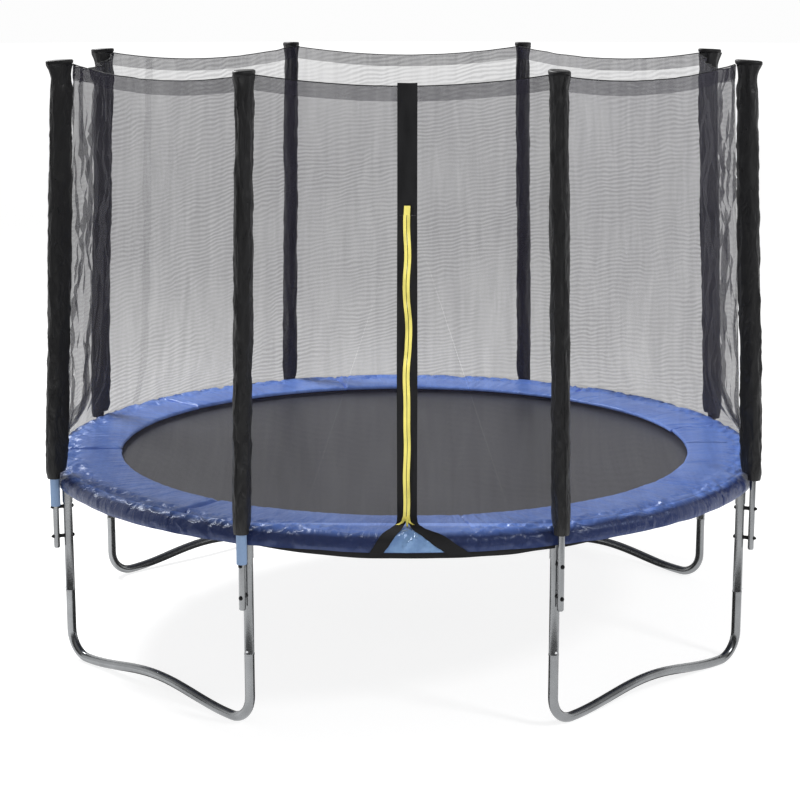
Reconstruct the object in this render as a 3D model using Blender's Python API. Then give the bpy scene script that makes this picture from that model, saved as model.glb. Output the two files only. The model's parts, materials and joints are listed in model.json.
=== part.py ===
"""Backyard trampoline, ten foot size, with a safety enclosure on eight poles.

Metres, +Z up, origin on the ground under the middle of the mat. The entrance faces -Y.
Every piece is one object. Pieces that repeat round the ring are made in loops over the
eight pole stations.
"""

import math

import bmesh
import bpy
from mathutils import Matrix, Vector

# ---- driving dimensions -------------------------------------------------------------

FRAME_DIAMETER = 3.05  # across the outside of the steel ring
FRAME_HEIGHT = 0.762  # ground to the middle of the ring's tube
TUBE_RADIUS = 0.019  # rails, leg posts and leg bases
TUBE_WALL = 0.0015
RAIL_CIRCLE = FRAME_DIAMETER / 2 - TUBE_RADIUS
RAIL_END_GAP = 0.0012  # each rail stops this far short of the joint line
TOTAL_HEIGHT = 2.48  # ground to the top of the pole caps

POLE_RADIUS = 0.0127
POLE_WALL = 0.0012
POLE_CIRCLE = RAIL_CIRCLE + 0.050  # the poles stand outside the leg posts
POLE_FOOT_Z = 0.481
POLE_BEND_Z = 0.81  # below this the pole is upright, above it leans inwards
POLE_TOP_Z = 2.452
POLE_TOP_CIRCLE = 1.478
CAP_SEAT = 0.0009  # clears the leaning pole's slanted end

SPRING_COUNT = 64
HOOK_RING = (1.3490, 1.3530)  # inner and outer radius of the thin ring at the springs' hooks
HOOK_RING_HALF = 0.0014
HOOK_HALF_WIDTH = 0.0028
SPRING_START = 1.366  # where the coils begin, from the middle of the mat
SPRING_END = 1.466
SPRING_TIP = 1.4838  # the outer hook stops just short of the rail
COIL_RADIUS = 0.0088
TIP_RADIUS = 0.0020

RING_STEPS = 64  # facets round the pad, the mat and its edge band
MAT_RADIUS = 1.3215
MAT_THICKNESS = 0.003
BAND_OUTER_RADIUS = 1.345
BAND_HALF = 0.0035
PAD_INNER_RADIUS = 1.232
PAD_OUTER_RADIUS = 1.5325
PAD_INNER_Z = 0.779  # underside at the inner edge
PAD_OUTER_Z = 0.7826  # underside over the rail
PAD_TOP_Z = 0.798
PAD_FLAT = (1.300, 1.505)  # the top is level between these radii
PAD_LIP = 0.006  # drop of the top at the inner edge
PAD_SHOULDER = 0.014  # drop of the top at the outer edge
SKIRT_Z = 0.735
SKIRT_THICKNESS = 0.0045

GAP = 0.0003  # left between pieces that touch
ENTRANCE_X = 0.02  # the zip stands just to the right of the middle
HALF_BAY = 22.5  # degrees from a pole to the middle of the bay beside it

# Pole stations: name, angle from +X, and how far the pale foam shows below the cover.
STATIONS = [
    ("right_rear", 22.5, 0.0),
    ("rear_right", 67.5, 0.0),
    ("rear_left", 112.5, 0.0),
    ("left_rear", 157.5, 0.0),
    ("left_front", -157.5, 0.14),
    ("front_left", -112.5, 0.14),
    ("front_right", -67.5, 0.0),
    ("right_front", -22.5, 0.0),
]
# Each leg stands under two neighbouring stations.
LEGS = [
    ("front_left", -157.5, -112.5),
    ("front_right", -67.5, -22.5),
    ("rear_right", 22.5, 67.5),
    ("rear_left", 112.5, 157.5),
]

# ---- legs ---------------------------------------------------------------------------

LEG_BEND_RADIUS = 0.105
LEG_ARCH = 0.045  # how far the middle of the base rises off the ground
POST_FOOT_Z = 0.290
SPIGOT_TOP_Z = 0.340
SPIGOT_RADIUS = 0.0160
SPIGOT_STEP = 0.0025  # the shoulder under the spigot ends this far below the post

# ---- sockets, posts and bolts ---------------------------------------------------------

SOCKET_RADIUS = 0.0215
SOCKET_BORE = 0.0203
SOCKET_Z = 0.672
SOCKET_PLUG = 0.004  # radius of the solid core that keeps the socket closed at the top
SOCKET_ROOF = 0.003  # space over the post inside the socket
POST_TOP_Z = 0.735
BOLT_Z = 0.530
BOLT_RADIUS = 0.0036
BOLT_HOLE = 0.0046
BOLT_REACH = 0.04  # the drilled holes run this far past the post and the pole
SPACER_RADIUS = 0.0085
BOLT_HEAD_RADIUS = 0.0065
BOLT_HEAD = 0.005
BOLT_NUT = 0.006

# ---- enclosure ------------------------------------------------------------------------

SLEEVE_BOTTOM_Z = 0.800
SLEEVE_TOP_Z = 2.448
SLEEVE_NECK_Z = 2.385
SLEEVE_NECK_LENGTH = 0.04
SLEEVE_SIDES = 10
# Ovals round a pole: reach outwards, reach inwards, half width.
SLEEVE_OVAL = (0.033, 0.050, 0.031)
NECK_OVAL = (0.029, 0.040, 0.028)
MOUTH_OVAL = (0.046, 0.046, 0.031)
CAP_BASE_OVAL = (0.047, 0.047, 0.032)
CAP_HEAD_OVAL = (0.056, 0.054, 0.037)
CAP_TOP_OVAL = (0.053, 0.051, 0.034)
CAP_BEVEL = 0.006
CAP_BASE_STEP = 0.0005
PLUG_LENGTH = 0.030
PLUG_CLEARANCE = 0.0014
BORE_CLEARANCE = 0.0006
FOAM_RADIUS = 0.0203
NET_SETBACK = 0.055  # net corner inside the pole's axis
NET_BOTTOM_Z = 0.803
NET_TOP_Z = 2.440
NET_THICKNESS = 0.003
ZIP_TOP_Z = 1.99
DOOR_HALF_WIDTH = 0.40
DOOR_GAP = 0.0025
DOOR_TIP_DROP = 0.035  # the flaps end this far below the zip's top
DOOR_TIP_WIDTH = 0.004
DOORWAY_MARGIN = 0.02  # the doorway is cut this far past the net's edge and faces
ZIP_GAP = 0.008  # half the width left between the two flaps
SLIDER_HEIGHTS = (0.008, 0.036)  # bottom and top of the slider above the sill
SLIDER_CLEARANCE = 0.0016
SLIDER_DEPTH = 0.010
SLIDER_FRONT = 0.004  # how far it stands out of the net


def clear_scene():
    for item in list(bpy.data.objects):
        bpy.data.objects.remove(item)


def material(name, colour, roughness, metallic=0.0):
    made = bpy.data.materials.new(name)
    made.use_nodes = True
    shader = made.node_tree.nodes["Principled BSDF"]
    shader.inputs["Base Color"].default_value = (*colour, 1.0)
    shader.inputs["Roughness"].default_value = roughness
    shader.inputs["Metallic"].default_value = metallic
    return made


def add_object(name, mesh, finish, smooth=True):
    """Links a mesh as one named piece, with round faces shaded smooth."""
    mesh.materials.clear()
    mesh.materials.append(finish)
    if smooth:
        mesh.shade_smooth()
        mesh.set_sharp_from_angle(angle=math.radians(40))
    piece = bpy.data.objects.new(name, mesh)
    bpy.context.scene.collection.objects.link(piece)
    return piece


def set_origin(piece, point):
    """Moves a piece's origin onto its joint without moving the piece."""
    piece.data.transform(Matrix.Translation(-point))
    piece.location = point


def mesh_from(name, work):
    """Turns a bmesh into a mesh with its faces pointing out."""
    bmesh.ops.recalc_face_normals(work, faces=work.faces[:])
    mesh = bpy.data.meshes.new(name)
    work.to_mesh(mesh)
    work.free()
    return mesh


def polar(radius, angle, z=0.0):
    turn = math.radians(angle)
    return Vector((radius * math.cos(turn), radius * math.sin(turn), z))


def tube_mesh(name, points, radius, wall, resolution, scales=None):
    """A hollow tube with open ends along a path: a bevelled curve given a wall inwards."""
    curve = bpy.data.curves.new(name, "CURVE")
    curve.dimensions = "3D"
    curve.bevel_depth = radius
    curve.bevel_resolution = resolution
    curve.render_resolution_u = 0
    spline = curve.splines.new("POLY")
    spline.points.add(len(points) - 1)
    for index, point in enumerate(points):
        spline.points[index].co = (*point, 1.0)
        if scales:
            spline.points[index].radius = scales[index]
    guide = bpy.data.objects.new(name, curve)
    bpy.context.scene.collection.objects.link(guide)
    solidify = guide.modifiers.new("wall", "SOLIDIFY")
    solidify.thickness = wall
    solidify.offset = -1.0
    solidify.use_even_offset = True
    graph = bpy.context.evaluated_depsgraph_get()
    mesh = bpy.data.meshes.new_from_object(guide.evaluated_get(graph), depsgraph=graph)
    bpy.data.objects.remove(guide)
    work = bmesh.new()
    work.from_mesh(mesh)
    bmesh.ops.remove_doubles(work, verts=work.verts[:], dist=1e-5)
    return mesh_from(name, work)


def loft(name, rings, closed=False):
    """Skins a list of rings. An open loft gets end faces, a closed one joins last to first."""
    work = bmesh.new()
    rows = [[work.verts.new(point) for point in ring] for ring in rings]
    pairs = list(zip(rows, rows[1:], strict=False))
    if closed:
        pairs.append((rows[-1], rows[0]))
    else:
        work.faces.new(rows[0])
        work.faces.new(rows[-1])
    for low, high in pairs:
        for index in range(len(low)):
            after = (index + 1) % len(low)
            work.faces.new((low[index], low[after], high[after], high[index]))
    return mesh_from(name, work)


def revolve(name, outline):
    """Spins a closed outline of (radius, z) corners round Z into a ring."""
    work = bmesh.new()
    corners = [work.verts.new((radius, 0.0, z)) for radius, z in outline]
    edges = [
        work.edges.new((corners[index], corners[(index + 1) % len(corners)]))
        for index in range(len(corners))
    ]
    bmesh.ops.spin(
        work,
        geom=corners + edges,
        cent=(0, 0, 0),
        axis=(0, 0, 1),
        angle=math.tau,
        steps=RING_STEPS,
        use_merge=True,
    )
    bmesh.ops.remove_doubles(work, verts=work.verts[:], dist=1e-5)
    return mesh_from(name, work)


def bar_mesh(name, start, end, radius, sides):
    """A solid round bar between two points."""
    return loft(name, [circle_round(start, end - start, radius, sides),
                       circle_round(end, end - start, radius, sides)])


def circle_round(centre, direction, radius, sides):
    """A ring of points round a direction, starting from the most upward one."""
    along = direction.normalized()
    up = Vector((0, 0, 1)) if abs(along.z) < 0.9 else Vector((1, 0, 0))
    side = along.cross(up).normalized()
    up = side.cross(along)
    return [
        centre + radius * (math.cos(turn) * up + math.sin(turn) * side)
        for turn in (math.tau * index / sides for index in range(sides))
    ]


def boolean(piece, name, mesh, operation):
    """Adds an exact Boolean with a hidden tool object."""
    tool = bpy.data.objects.new(name, mesh)
    bpy.context.scene.collection.objects.link(tool)
    tool.hide_render = True
    tool.display_type = "WIRE"
    modifier = piece.modifiers.new(name, "BOOLEAN")
    modifier.operation = operation
    modifier.object = tool


def pole_circle(z):
    """The pole axis's distance from the middle at a height."""
    lean = max(0.0, (z - POLE_BEND_Z) / (POLE_TOP_Z - POLE_BEND_Z))
    return POLE_CIRCLE + (POLE_TOP_CIRCLE - POLE_CIRCLE) * lean


def oval_ring(angle, z, outwards, inwards, sideways, sides=SLEEVE_SIDES):
    """A level oval round the pole's axis, longer towards the middle of the trampoline."""
    radial, tangent = polar(1.0, angle), polar(1.0, angle + 90)
    middle = polar(pole_circle(z) + (outwards - inwards) / 2, angle, z)
    reach = (outwards + inwards) / 2
    return [
        middle + reach * math.cos(turn) * radial + sideways * math.sin(turn) * tangent
        for turn in (math.tau * index / sides for index in range(sides))
    ]


def bolt_hole(piece, name, angle):
    start = polar(RAIL_CIRCLE - BOLT_REACH, angle, BOLT_Z)
    end = polar(POLE_CIRCLE + BOLT_REACH, angle, BOLT_Z)
    boolean(piece, name, bar_mesh(name, start, end, BOLT_HOLE, 6), "DIFFERENCE")


# ---- the steel frame ------------------------------------------------------------------


def leg_path(first, second):
    """Down one side, round the bend, over the low arch and up the other side."""
    start, end = polar(RAIL_CIRCLE, first), polar(RAIL_CIRCLE, second)
    span = (end - start).length
    along = (end - start).normalized()
    half = [(0.0, SPIGOT_TOP_Z), (0.0, POST_FOOT_Z - GAP), (0.0, POST_FOOT_Z - SPIGOT_STEP)]
    for step in range(4):
        turn = math.pi / 2 * step / 4
        half.append((
            LEG_BEND_RADIUS * (1 - math.cos(turn)),
            TUBE_RADIUS + LEG_BEND_RADIUS * (1 - math.sin(turn)),
        ))
    flat = span - 2 * LEG_BEND_RADIUS
    steps = 8
    base = []
    for step in range(steps + 1):
        share = step / steps
        rise = LEG_ARCH * math.sin(math.pi * share) ** 2
        base.append((LEG_BEND_RADIUS + flat * share, TUBE_RADIUS + rise))
    mirrored = [(span - across, z) for across, z in reversed(half)]
    points = [start + along * across + Vector((0, 0, z)) for across, z in half + base + mirrored]
    spigot = SPIGOT_RADIUS / TUBE_RADIUS
    scales = [1.0] * len(points)
    scales[0] = scales[1] = scales[-1] = scales[-2] = spigot
    return points, scales


def make_legs(steel):
    for name, first, second in LEGS:
        points, scales = leg_path(first, second)
        mesh = tube_mesh(name, points, TUBE_RADIUS, TUBE_WALL, 2, scales)
        add_object(f"leg_{name}", mesh, steel)


def make_posts(steel):
    for name, angle, _foam in STATIONS:
        ends = [polar(RAIL_CIRCLE, angle, z) for z in (POST_FOOT_Z, POST_TOP_Z)]
        mesh = tube_mesh(name, ends, TUBE_RADIUS, TUBE_WALL, 3)
        post = add_object(f"leg_post_{name}", mesh, steel)
        bolt_hole(post, f"post_hole_{name}", angle)


def make_rails(steel):
    """Eight curved rails, each with the socket for one leg post welded under its middle."""
    end_gap = math.degrees(RAIL_END_GAP / RAIL_CIRCLE)
    steps = RING_STEPS // len(STATIONS)
    for name, angle, _foam in STATIONS:
        points = []
        for step in range(steps + 1):
            turn = HALF_BAY * (2 * step / steps - 1)
            turn = max(end_gap - HALF_BAY, min(HALF_BAY - end_gap, turn))
            points.append(polar(RAIL_CIRCLE, angle + turn, FRAME_HEIGHT))
        mesh = tube_mesh(name, points, TUBE_RADIUS, TUBE_WALL, 2)
        rail = add_object(f"top_rail_{name}", mesh, steel)
        centre = polar(RAIL_CIRCLE, angle)
        levels = [
            (SOCKET_RADIUS, SOCKET_Z), (SOCKET_RADIUS, FRAME_HEIGHT),
            (SOCKET_PLUG, FRAME_HEIGHT), (SOCKET_PLUG, POST_TOP_Z + SOCKET_ROOF),
            (SOCKET_BORE, POST_TOP_Z + SOCKET_ROOF), (SOCKET_BORE, SOCKET_Z),
        ]
        rings = [
            circle_round(centre + Vector((0, 0, z)), Vector((0, 0, 1)), radius, 10)
            for radius, z in levels
        ]
        boolean(rail, f"socket_{name}", loft(f"socket_{name}", rings, closed=True), "UNION")


def make_poles(steel):
    for name, angle, _foam in STATIONS:
        points = [polar(pole_circle(z), angle, z) for z in (POLE_FOOT_Z, POLE_BEND_Z, POLE_TOP_Z)]
        mesh = tube_mesh(name, points, POLE_RADIUS, POLE_WALL, 2)
        pole = add_object(f"pole_{name}", mesh, steel)
        bolt_hole(pole, f"pole_hole_{name}", angle)


def make_bolts(black):
    """The lower bolt of each pole with its spacer, head and nut."""
    head_face = RAIL_CIRCLE - TUBE_RADIUS - GAP
    spacer_start = RAIL_CIRCLE + TUBE_RADIUS + GAP
    spacer_end = POLE_CIRCLE - POLE_RADIUS - GAP
    nut_face = POLE_CIRCLE + POLE_RADIUS + GAP
    profile = [
        (head_face - BOLT_HEAD, BOLT_HEAD_RADIUS), (head_face, BOLT_HEAD_RADIUS),
        (head_face, BOLT_RADIUS),
        (spacer_start, BOLT_RADIUS), (spacer_start, SPACER_RADIUS),
        (spacer_end, SPACER_RADIUS), (spacer_end, BOLT_RADIUS),
        (nut_face, BOLT_RADIUS), (nut_face, BOLT_HEAD_RADIUS),
        (nut_face + BOLT_NUT, BOLT_HEAD_RADIUS),
    ]
    for name, angle, _foam in STATIONS:
        rings = [
            circle_round(polar(reach, angle, BOLT_Z), polar(1.0, angle), radius, 6)
            for reach, radius in profile
        ]
        add_object(f"pole_bolt_{name}", loft(name, rings), black)


# ---- mat, springs and pad ---------------------------------------------------------------


def make_mat(fabric, webbing):
    top, bottom = FRAME_HEIGHT + MAT_THICKNESS / 2, FRAME_HEIGHT - MAT_THICKNESS / 2
    rim = [[polar(MAT_RADIUS, 360 * step / RING_STEPS, z) for step in range(RING_STEPS)]
           for z in (bottom, top)]
    mat = add_object("jump_mat", loft("jump_mat", rim), fabric)
    inner = MAT_RADIUS + 2 * GAP
    low, high = FRAME_HEIGHT - BAND_HALF, FRAME_HEIGHT + BAND_HALF
    outline = [(inner, low), (BAND_OUTER_RADIUS, low), (BAND_OUTER_RADIUS, high), (inner, high)]
    band = add_object("mat_edge_band", revolve("mat_edge_band", outline), webbing)
    for piece in (mat, band):
        set_origin(piece, Vector((0, 0, FRAME_HEIGHT)))


def make_springs(steel):
    """The springs lie spoke-wise between mat and rail, joined by a thin ring at their hooks."""
    ring_inner, ring_outer = HOOK_RING
    section_corners = [
        (ring_inner, -HOOK_RING_HALF), (ring_outer, -HOOK_RING_HALF),
        (ring_outer, HOOK_RING_HALF), (ring_inner, HOOK_RING_HALF),
    ]
    stations = [(SPRING_START, COIL_RADIUS), (SPRING_END, COIL_RADIUS), (SPRING_TIP, TIP_RADIUS)]
    work = bmesh.new()
    first = last = None
    for index in range(SPRING_COUNT):
        angle = 360 * (index + 0.5) / SPRING_COUNT
        radial, tangent = polar(1.0, angle), polar(1.0, angle + 90)
        middle = Vector((0, 0, FRAME_HEIGHT))

        def corner(reach, across, rise, radial=radial, tangent=tangent, middle=middle):
            return work.verts.new(middle + radial * reach + tangent * across + Vector((0, 0, rise)))

        right, left = (
            [corner(reach, side * HOOK_HALF_WIDTH, rise) for reach, rise in section_corners]
            for side in (-1, 1)
        )
        for a, b in ((0, 1), (2, 3), (3, 0)):
            work.faces.new((right[a], right[b], left[b], left[a]))
        section = [right[1], left[1], left[2], right[2]]
        for reach, radius in stations:
            flat = radius / math.sqrt(2)
            ring = [corner(reach, across, rise) for across, rise in
                    ((-flat, -flat), (flat, -flat), (flat, flat), (-flat, flat))]
            for side in range(4):
                after = (side + 1) % 4
                work.faces.new((section[side], section[after], ring[after], ring[side]))
            section = ring
        work.faces.new(section)
        if last:
            join_sections(work, last, right)
        else:
            first = right
        last = left
    join_sections(work, last, first)
    add_object("spring_set", mesh_from("spring_set", work), steel)


def join_sections(work, before, after):
    for index in range(4):
        follow = (index + 1) % 4
        work.faces.new((before[index], before[follow], after[follow], after[index]))


def make_pad(vinyl):
    """The padded ring over the springs, with the short skirt that hangs outside the rail."""
    inside = PAD_OUTER_RADIUS - SKIRT_THICKNESS
    outline = [
        (PAD_INNER_RADIUS, PAD_INNER_Z), (PAD_INNER_RADIUS, PAD_TOP_Z - PAD_LIP),
        (PAD_FLAT[0], PAD_TOP_Z), (PAD_FLAT[1], PAD_TOP_Z),
        (PAD_OUTER_RADIUS, PAD_TOP_Z - PAD_SHOULDER), (PAD_OUTER_RADIUS, SKIRT_Z),
        (inside, SKIRT_Z), (inside, PAD_OUTER_Z),
    ]
    add_object("safety_pad", revolve("safety_pad", outline), vinyl)


# ---- enclosure ---------------------------------------------------------------------------


def make_sleeves(cover):
    """Foam tube and cover on each pole, oval because the net pulls the cover inwards."""
    bore = (POLE_RADIUS + BORE_CLEARANCE) / math.cos(math.pi / SLEEVE_SIDES)
    for name, angle, foam in STATIONS:
        bottom = SLEEVE_BOTTOM_Z - foam
        levels = [
            (SLEEVE_BOTTOM_Z + GAP, SLEEVE_OVAL), (POLE_BEND_Z, SLEEVE_OVAL),
            (SLEEVE_NECK_Z - SLEEVE_NECK_LENGTH, SLEEVE_OVAL), (SLEEVE_NECK_Z, NECK_OVAL),
            (SLEEVE_TOP_Z, MOUTH_OVAL),
            (SLEEVE_TOP_Z, (bore, bore, bore)), (POLE_BEND_Z, (bore, bore, bore)),
            (bottom, (bore, bore, bore)),
        ]
        if foam:
            foam_oval = (FOAM_RADIUS, FOAM_RADIUS, FOAM_RADIUS)
            levels = [(bottom, foam_oval), (SLEEVE_BOTTOM_Z, foam_oval), *levels]
        rings = [oval_ring(angle, z, *oval) for z, oval in levels]
        add_object(f"pole_sleeve_{name}", loft(name, rings, closed=True), cover)


def make_caps(black):
    """Oval plastic caps that plug the poles and spread the tops of the covers."""
    plug = POLE_RADIUS - POLE_WALL - PLUG_CLEARANCE
    base = POLE_TOP_Z + CAP_SEAT
    levels = [
        (base - PLUG_LENGTH, (plug, plug, plug)), (base, (plug, plug, plug)),
        (base + CAP_BASE_STEP, CAP_BASE_OVAL), (TOTAL_HEIGHT - CAP_BEVEL, CAP_HEAD_OVAL),
        (TOTAL_HEIGHT, CAP_TOP_OVAL),
    ]
    for name, angle, _foam in STATIONS:
        rings = [oval_ring(angle, z, *oval) for z, oval in levels]
        add_object(f"pole_cap_{name}", loft(name, rings), black)


def net_corner(z):
    return pole_circle(z) - NET_SETBACK


def front_y(z):
    """The front net panel's outer face at a height."""
    return -net_corner(z) * math.cos(math.radians(HALF_BAY))


def panel_prism(name, corners, thickness, setback=0.0):
    """A flat piece in the front panel's slope, from its (x, z) corners."""
    faces = [
        [Vector((x, front_y(z) + depth, z)) for x, z in corners]
        for depth in (setback, setback + thickness)
    ]
    return loft(name, faces)


def make_net(mesh_cloth):
    """The eight-sided net wall, open at the top and bottom, with the doorway cut out."""
    inset = NET_THICKNESS / math.cos(math.radians(HALF_BAY))
    levels = [(NET_BOTTOM_Z, 0.0), (NET_TOP_Z, 0.0), (NET_TOP_Z, inset), (NET_BOTTOM_Z, inset)]
    rings = [
        [polar(net_corner(z) - shift, angle, z) for _name, angle, _foam in STATIONS]
        for z, shift in levels
    ]
    wall = loft("enclosure_net", rings, closed=True)
    net = add_object("enclosure_net", wall, mesh_cloth, smooth=False)
    doorway = [
        (ENTRANCE_X - DOOR_HALF_WIDTH, NET_BOTTOM_Z - DOORWAY_MARGIN),
        (ENTRANCE_X + DOOR_HALF_WIDTH, NET_BOTTOM_Z - DOORWAY_MARGIN),
        (ENTRANCE_X + DOOR_HALF_WIDTH, NET_BOTTOM_Z),
        (ENTRANCE_X + ZIP_GAP, ZIP_TOP_Z),
        (ENTRANCE_X - ZIP_GAP, ZIP_TOP_Z),
        (ENTRANCE_X - DOOR_HALF_WIDTH, NET_BOTTOM_Z),
    ]
    depth = NET_THICKNESS + 2 * DOORWAY_MARGIN
    cut = panel_prism("doorway", doorway, depth, -DOORWAY_MARGIN)
    boolean(net, "doorway", cut, "DIFFERENCE")


def make_door_flaps(mesh_cloth):
    """Two triangles that fold about the slanting lines from the zip's top to the sill."""
    for name, side in (("left", -1), ("right", 1)):
        corners = [
            (ENTRANCE_X + side * ZIP_GAP, NET_BOTTOM_Z),
            (ENTRANCE_X + side * (DOOR_HALF_WIDTH - 2 * DOOR_GAP), NET_BOTTOM_Z),
            (ENTRANCE_X + side * (ZIP_GAP + DOOR_TIP_WIDTH), ZIP_TOP_Z - DOOR_TIP_DROP),
            (ENTRANCE_X + side * ZIP_GAP, ZIP_TOP_Z - DOOR_TIP_DROP),
        ]
        mesh = panel_prism(name, corners, NET_THICKNESS)
        flap = add_object(f"door_flap_{name}", mesh, mesh_cloth, smooth=False)
        hinge_x = ENTRANCE_X + side * (DOOR_HALF_WIDTH - DOOR_GAP)
        hinge_y = front_y(NET_BOTTOM_Z) + NET_THICKNESS / 2
        set_origin(flap, Vector((hinge_x, hinge_y, NET_BOTTOM_Z)))


def make_zip_slider(metal):
    """The zip's slider, narrower than the gap it runs in and a little proud of the net."""
    bottom, top = (NET_BOTTOM_Z + rise for rise in SLIDER_HEIGHTS)
    half = ZIP_GAP - SLIDER_CLEARANCE
    body = [(ENTRANCE_X - half, bottom), (ENTRANCE_X + half, bottom),
            (ENTRANCE_X + half, top), (ENTRANCE_X - half, top)]
    mesh = panel_prism("zip_slider", body, SLIDER_DEPTH, -SLIDER_FRONT)
    slider = add_object("zip_slider", mesh, metal, smooth=False)
    set_origin(slider, Vector((ENTRANCE_X, front_y(bottom), bottom)))


def main():
    clear_scene()
    steel = material("galvanised_steel", (0.62, 0.63, 0.64), 0.32, 1.0)
    spring_wire = material("spring_wire", (0.55, 0.56, 0.58), 0.35, 1.0)
    black_plastic = material("black_plastic", (0.02, 0.02, 0.022), 0.45)
    cover = material("sleeve_cover", (0.018, 0.018, 0.02), 0.6)
    vinyl = material("pad_vinyl", (0.10, 0.16, 0.42), 0.42)
    mat_fabric = material("mat_fabric", (0.06, 0.06, 0.065), 0.7)
    webbing = material("webbing", (0.02, 0.02, 0.022), 0.8)
    net_cloth = material("net_mesh", (0.05, 0.05, 0.055), 0.8)
    slider_metal = material("slider_metal", (0.75, 0.68, 0.20), 0.4, 0.6)
    make_legs(steel)
    make_posts(steel)
    make_rails(steel)
    make_poles(steel)
    make_bolts(black_plastic)
    make_mat(mat_fabric, webbing)
    make_springs(spring_wire)
    make_pad(vinyl)
    make_sleeves(cover)
    make_caps(black_plastic)
    make_net(net_cloth)
    make_door_flaps(net_cloth)
    make_zip_slider(slider_metal)


main()
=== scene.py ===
"""Looks of the backyard trampoline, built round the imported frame.

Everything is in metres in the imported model's own frame: +Z up, origin on the ground under
the middle of the mat, entrance towards -Y. The first block of sizes repeats the design's.
"""

import json
import math

import bpy
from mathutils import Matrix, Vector, noise


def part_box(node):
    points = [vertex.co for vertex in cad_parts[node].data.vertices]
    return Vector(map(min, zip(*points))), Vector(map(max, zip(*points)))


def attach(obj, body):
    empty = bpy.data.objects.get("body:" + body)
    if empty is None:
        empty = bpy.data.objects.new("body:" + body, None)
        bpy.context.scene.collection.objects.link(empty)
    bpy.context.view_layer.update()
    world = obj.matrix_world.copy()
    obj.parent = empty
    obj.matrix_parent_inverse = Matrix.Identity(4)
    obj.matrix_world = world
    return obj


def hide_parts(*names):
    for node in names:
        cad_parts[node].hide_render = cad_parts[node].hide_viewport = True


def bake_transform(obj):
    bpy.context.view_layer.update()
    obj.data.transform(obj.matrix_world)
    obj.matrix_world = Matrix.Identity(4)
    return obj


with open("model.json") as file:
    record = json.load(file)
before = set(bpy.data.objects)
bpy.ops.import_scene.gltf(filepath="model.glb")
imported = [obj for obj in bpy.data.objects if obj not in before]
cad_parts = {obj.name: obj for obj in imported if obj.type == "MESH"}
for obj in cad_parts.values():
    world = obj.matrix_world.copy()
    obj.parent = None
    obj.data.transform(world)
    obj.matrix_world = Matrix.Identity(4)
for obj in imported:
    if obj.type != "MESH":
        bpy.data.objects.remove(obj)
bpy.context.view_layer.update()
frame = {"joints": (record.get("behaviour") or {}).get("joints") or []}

# ---- dimensions that repeat the design's ----

FRAME_HEIGHT = 0.762
TUBE_RADIUS = 0.019
RAIL_CIRCLE = 1.506
POLE_RADIUS = 0.0127
TUBE_WALL, POLE_WALL = 0.0015, 0.0012
POLE_CIRCLE = 1.556
POLE_FOOT_Z, POLE_BEND_Z, POLE_TOP_Z = 0.481, 0.81, 2.452
POLE_TOP_CIRCLE = 1.478
TOTAL_HEIGHT = 2.48
POST_FOOT_Z, POST_TOP_Z = 0.290, 0.735
SOCKET_RADIUS, SOCKET_Z = 0.0215, 0.672
LEG_BEND_RADIUS, LEG_ARCH = 0.105, 0.045
MAT_RADIUS, MAT_BAND = 1.3215, 1.345
SPRING_COUNT = 64
SPRING_START, SPRING_END = 1.366, 1.466
PAD_INNER, PAD_OUTER = 1.232, 1.5325
PAD_TOP_Z, SKIRT_Z = 0.798, 0.735
SLEEVE_BOTTOM_Z = 0.800
NET_SETBACK = 0.055
ENTRANCE_X = 0.02
ZIP_TOP_Z = 1.99
HALF_BAY = 22.5

# The names and angles of the poles and legs, here all between 0 and 360 degrees.
STATIONS = [
    ("right_rear", 22.5), ("rear_right", 67.5), ("rear_left", 112.5), ("left_rear", 157.5),
    ("left_front", 202.5), ("front_left", 247.5), ("front_right", 292.5),
    ("right_front", 337.5),
]
LEGS = [("front_left", 202.5, 247.5), ("front_right", 292.5, 337.5),
        ("rear_right", 22.5, 67.5), ("rear_left", 112.5, 157.5)]

# ---- dimensions of the looks ----

FRONT_BAY = 5  # between front_left and front_right, with the entrance
SEAM_BAY, SEAM_SHARE = 2, 0.795  # the net's upright seam: its bay, and how far along it
REAR_BAYS = (0, 1, 2)
SIDE_BAYS = (3, 7)  # the bays that face left and right
SIDES = ((-1, "left"), (1, "right"))  # of the entrance
BOLT_HEIGHTS = (0.530, 0.655)  # the lower bolt is in the frame too, the upper one only here
SPRING_TIP, COIL_RADIUS = 1.484, 0.0078  # the design's are 1.4838 and 0.0088
WIRE_RADIUS = 0.0014
SLEEVE_HANG = 0.022  # how far a cover's lower end hangs outside the pad
FOAM_SHOWS = {"left_front": 0.12, "front_left": 0.12}  # how far it reaches below two covers
NET_BOTTOM_Z = 0.806  # the design's is 0.803
HINGE_FOOT, HINGE_TIP = 0.3975, 0.0158  # the door's fold lines, either side of the zip
HINGE_FOOT_Z, HINGE_TIP_Z = 0.803, 1.955
HEM_AT_POLE, HEM_SAG, HEM_DEPTH = 2.462, 0.042, 0.055
STRIP_EDGES = (-0.016, 0.057)  # the black strip behind the zip
TAPE_WIDTH = 0.0125
TAPE_LIFT = (0.0078, 0.009)  # how far the tape stands off the net, and how far it sways
BUTTON_Z = 0.306
SKIRT_SHADE_SPAN = (0.275, 0.315)  # how far across the pad's cover the painted shade of its skirt begins and ends
PAD_COLUMNS, PAD_MIDDLE = 1280, 1.4  # columns of the pad's cover, and its middle radius
SLOPE_START, SLOPE_DROP, SLOPE_STEPS = 1.452, 0.053, 22  # the cover's rounded outer side
SLOPE_POWER = 2 / 3  # full enough to clear the rail inside it
BAY_PITCH, BAY_CLOTH = 1.15, 1.13  # metres of the net's weave from bay to bay, and in one bay
APRON_RUN, APRON_TUCK = (0.070, 0.188), 0.014  # the cover's bare part, and its edges under the bands
SKY_RADIUS = 60.0
CAMERA_PLACE = (0.0714, -8.8474, 2.8494)
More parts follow.
